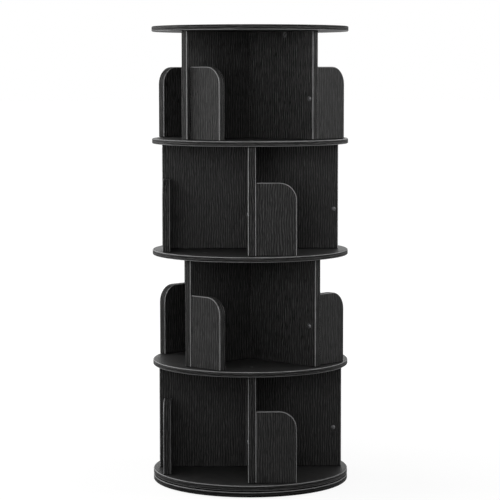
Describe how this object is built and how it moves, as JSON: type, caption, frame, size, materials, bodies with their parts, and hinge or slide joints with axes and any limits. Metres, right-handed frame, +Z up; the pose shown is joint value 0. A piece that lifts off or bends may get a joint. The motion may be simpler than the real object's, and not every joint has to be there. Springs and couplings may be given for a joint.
{
  "type": "revolving bookcase",
  "caption": "Round free-standing revolving bookcase in black wood grain, with staggered crossed uprights and low rounded baffles, turning on a ball-bearing base.",
  "frame": {"origin": "on the floor, under the middle of the base board, on the turning axis", "axes": "+Z up along the turning axis, -Y towards the front, where the lowest tier's long upright shows its end, +X to the right of someone facing that front"},
  "size_m": [0.463, 0.463, 1.0783],
  "materials": {
    "laminate_board": "black wood-grain laminate, satin, fine vertical grain on the uprights and baffles",
    "screw_steel": "dark nickel-plated screw",
    "turntable_steel": "zinc-plated pressed steel",
    "foot_felt": "dense dark grey felt"
  },
  "bodies": {
    "base": {"base_board": "laminate_board", "turntable_lower_plate": "turntable_steel", "foot_pad_1": "foot_felt", "foot_pad_2": "foot_felt", "foot_pad_3": "foot_felt", "foot_pad_4": "foot_felt", "foot_pad_5": "foot_felt", "foot_pad_6": "foot_felt"},
    "ball_cage": {"turntable_ball_cage": "turntable_steel"},
    "carousel": {"turntable_upper_plate": "turntable_steel", "bottom_shelf": "laminate_board", "shelf_2": "laminate_board", "shelf_3": "laminate_board", "shelf_4": "laminate_board", "top_panel": "laminate_board", "tier_1_long_upright": "laminate_board", "tier_1_half_upright_b": "laminate_board", "tier_1_half_upright_d": "laminate_board", "tier_2_long_upright": "laminate_board", "tier_2_half_upright_b": "laminate_board", "tier_2_half_upright_d": "laminate_board", "tier_3_long_upright": "laminate_board", "tier_3_half_upright_b": "laminate_board", "tier_3_half_upright_d": "laminate_board", "tier_4_long_upright": "laminate_board", "tier_4_half_upright_b": "laminate_board", "tier_4_half_upright_d": "laminate_board", "tier_1_baffle_a": "laminate_board", "tier_1_baffle_b": "laminate_board", "tier_1_baffle_c": "laminate_board", "tier_1_baffle_d": "laminate_board", "tier_2_baffle_a": "laminate_board", "tier_2_baffle_b": "laminate_board", "tier_2_baffle_c": "laminate_board", "tier_2_baffle_d": "laminate_board", "tier_3_baffle_a": "laminate_board", "tier_3_baffle_b": "laminate_board", "tier_3_baffle_c": "laminate_board", "tier_3_baffle_d": "laminate_board", "tier_4_baffle_a": "laminate_board", "tier_4_baffle_b": "laminate_board", "tier_4_baffle_c": "laminate_board", "tier_4_baffle_d": "laminate_board", "tier_1_baffle_screw_a": "screw_steel", "tier_1_baffle_screw_b": "screw_steel", "tier_1_baffle_screw_c": "screw_steel", "tier_1_baffle_screw_d": "screw_steel", "tier_2_baffle_screw_a": "screw_steel", "tier_2_baffle_screw_b": "screw_steel", "tier_2_baffle_screw_c": "screw_steel", "tier_2_baffle_screw_d": "screw_steel", "tier_3_baffle_screw_a": "screw_steel", "tier_3_baffle_screw_b": "screw_steel", "tier_3_baffle_screw_c": "screw_steel", "tier_3_baffle_screw_d": "screw_steel", "tier_4_baffle_screw_a": "screw_steel", "tier_4_baffle_screw_b": "screw_steel", "tier_4_baffle_screw_c": "screw_steel", "tier_4_baffle_screw_d": "screw_steel"}
  },
  "joints": [
    {"name": "carousel_spin", "type": "hinge", "parent": "base", "child": "carousel", "pos_m": [0, 0, 0.0168], "axis": [0, 0, 1], "continuous": true},
    {"name": "ball_cage_spin", "type": "hinge", "parent": "base", "child": "ball_cage", "pos_m": [0, 0, 0.0168], "axis": [0, 0, 1], "continuous": true}
  ],
  "couplings": [
    {"joint": "ball_cage_spin", "follows": "carousel_spin", "ratio": 0.5}
  ]
}
